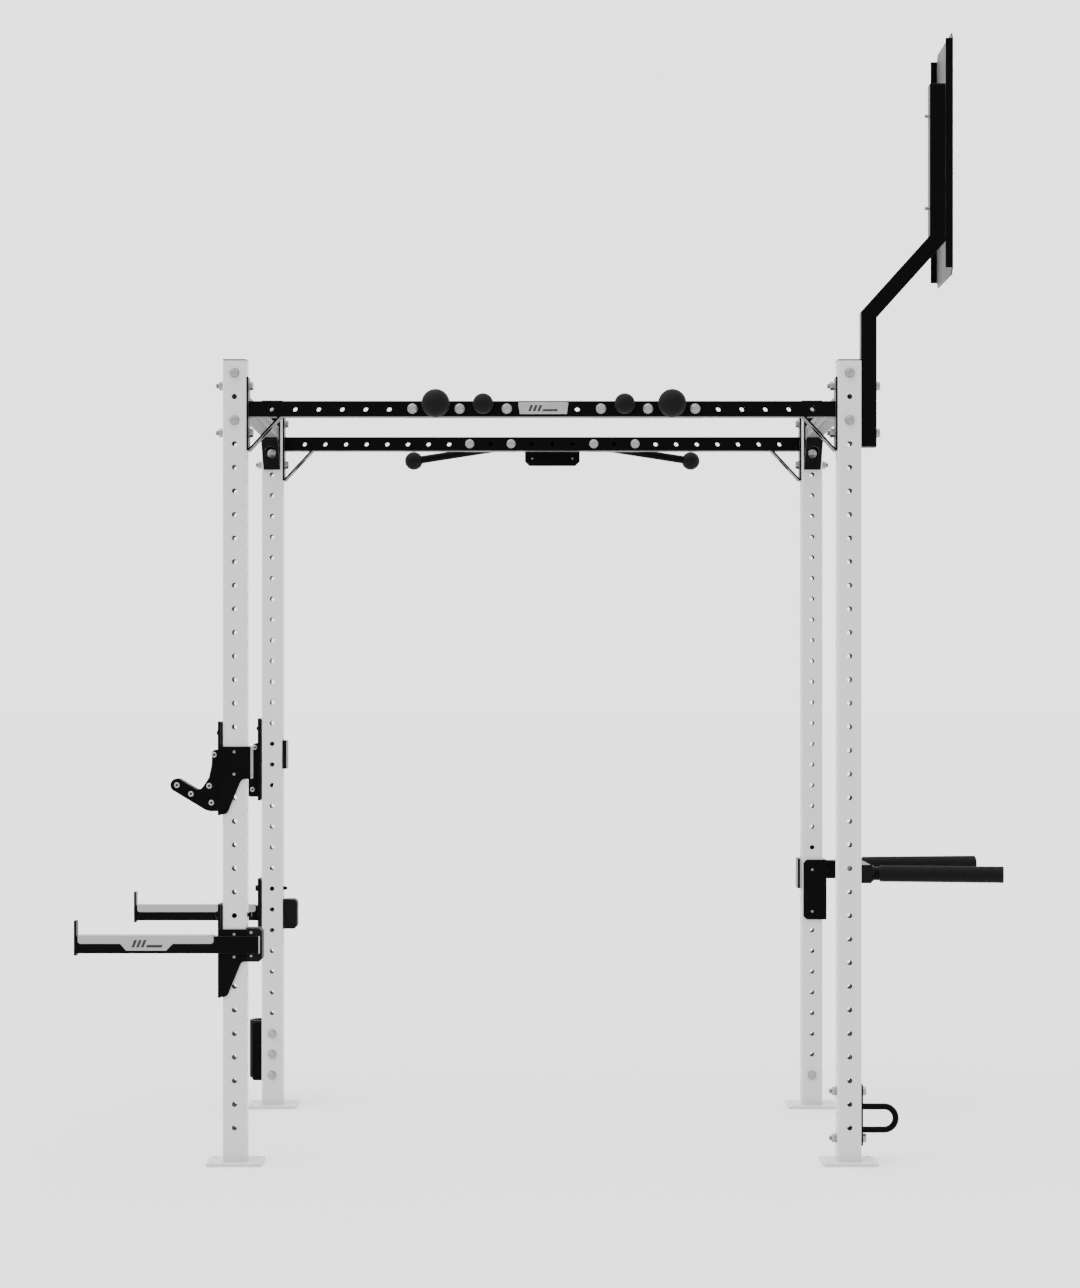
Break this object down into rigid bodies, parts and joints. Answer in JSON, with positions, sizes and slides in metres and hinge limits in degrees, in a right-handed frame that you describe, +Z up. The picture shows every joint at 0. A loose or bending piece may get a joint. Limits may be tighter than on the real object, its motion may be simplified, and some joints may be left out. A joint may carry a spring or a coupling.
{
  "type": "power tower",
  "caption": "Four-post steel training rig with pull-up grips, swing-away bar cups and spotter arms, dip handles, ball target, rope anchor and bar holder.",
  "frame": {"origin": "on the floor, midway between the four uprights", "axes": "+X to the right along the long beams, +Y to the rear, +Z up"},
  "size_m": [3.1142, 1.6581, 3.606],
  "materials": {
    "white_powder_coat": "satin",
    "black_powder_coat": "satin",
    "zinc_plated_steel": "satin",
    "grip_rubber": "textured",
    "grey_liner_plastic": "matte",
    "black_plastic": "matte",
    "brushed_badge": "brushed"
  },
  "bodies": {
    "root": {"angled_grip_ball_left": "grip_rubber", "angled_grip_ball_right": "grip_rubber", "angled_grip_left": "black_powder_coat", "angled_grip_right": "black_powder_coat", "bar_holder": "black_powder_coat", "crossmember_flanges": "black_powder_coat", "dip_bracket": "black_powder_coat", "dip_grip_far": "grip_rubber", "dip_grip_near": "grip_rubber", "dip_liners": "black_plastic", "dip_yoke": "black_powder_coat", "foot_front_left": "white_powder_coat", "foot_front_right": "white_powder_coat", "foot_rear_left": "white_powder_coat", "foot_rear_right": "white_powder_coat", "front_badge": "brushed_badge", "front_beam": "black_powder_coat", "front_beam_flanges": "black_powder_coat", "globe_back_plates": "black_powder_coat", "hex_bolts": "zinc_plated_steel", "hex_nuts": "zinc_plated_steel", "large_globe_left": "grip_rubber", "large_globe_right": "grip_rubber", "left_crossmember": "black_powder_coat", "rear_badge": "black_powder_coat", "rear_beam": "black_powder_coat", "rear_beam_flanges": "black_powder_coat", "right_crossmember": "black_powder_coat", "rope_anchor": "black_powder_coat", "small_globe_left": "grip_rubber", "small_globe_right": "grip_rubber", "target_panel": "black_powder_coat", "target_post": "black_powder_coat", "trim_screws": "zinc_plated_steel", "tube_caps": "black_plastic", "upright_front_left": "white_powder_coat", "upright_front_right": "white_powder_coat", "upright_rear_left": "white_powder_coat", "upright_rear_right": "white_powder_coat", "washers": "zinc_plated_steel"},
    "bar_cup_near": {"cup_bracket_near": "black_powder_coat", "cup_cheeks_near": "black_powder_coat", "cup_core_near": "black_plastic", "cup_liners_near": "black_plastic", "cup_screws_near": "zinc_plated_steel"},
    "spotter_near": {"spotter_arm_near": "black_powder_coat", "spotter_bracket_near": "black_powder_coat", "spotter_liners_near": "black_plastic", "spotter_pad_near": "grey_liner_plastic", "spotter_pin_near": "black_powder_coat"},
    "bar_cup_far": {"cup_bracket_far": "black_powder_coat", "cup_cheeks_far": "black_powder_coat", "cup_core_far": "black_plastic", "cup_liners_far": "black_plastic", "cup_screws_far": "zinc_plated_steel"},
    "spotter_far": {"spotter_arm_far": "black_powder_coat", "spotter_bracket_far": "black_powder_coat", "spotter_liners_far": "black_plastic", "spotter_pad_far": "grey_liner_plastic", "spotter_pin_far": "black_powder_coat"}
  },
  "joints": [
    {"name": "bar_cup_near_swing", "type": "hinge", "parent": "root", "child": "bar_cup_near", "pos_m": [-0.978, -0.6, 1.373], "axis": [-1, 0, 0], "range_deg": [0, 90]},
    {"name": "spotter_near_swing", "type": "hinge", "parent": "root", "child": "spotter_near", "pos_m": [-0.978, -0.6, 0.7925], "axis": [-1, 0, 0], "range_deg": [0, 90]},
    {"name": "bar_cup_far_swing", "type": "hinge", "parent": "root", "child": "bar_cup_far", "pos_m": [-0.978, 0.6, 1.373], "axis": [1, 0, 0], "range_deg": [0, 90]},
    {"name": "spotter_far_swing", "type": "hinge", "parent": "root", "child": "spotter_far", "pos_m": [-0.978, 0.6, 0.7925], "axis": [1, 0, 0], "range_deg": [0, 90]}
  ]
}
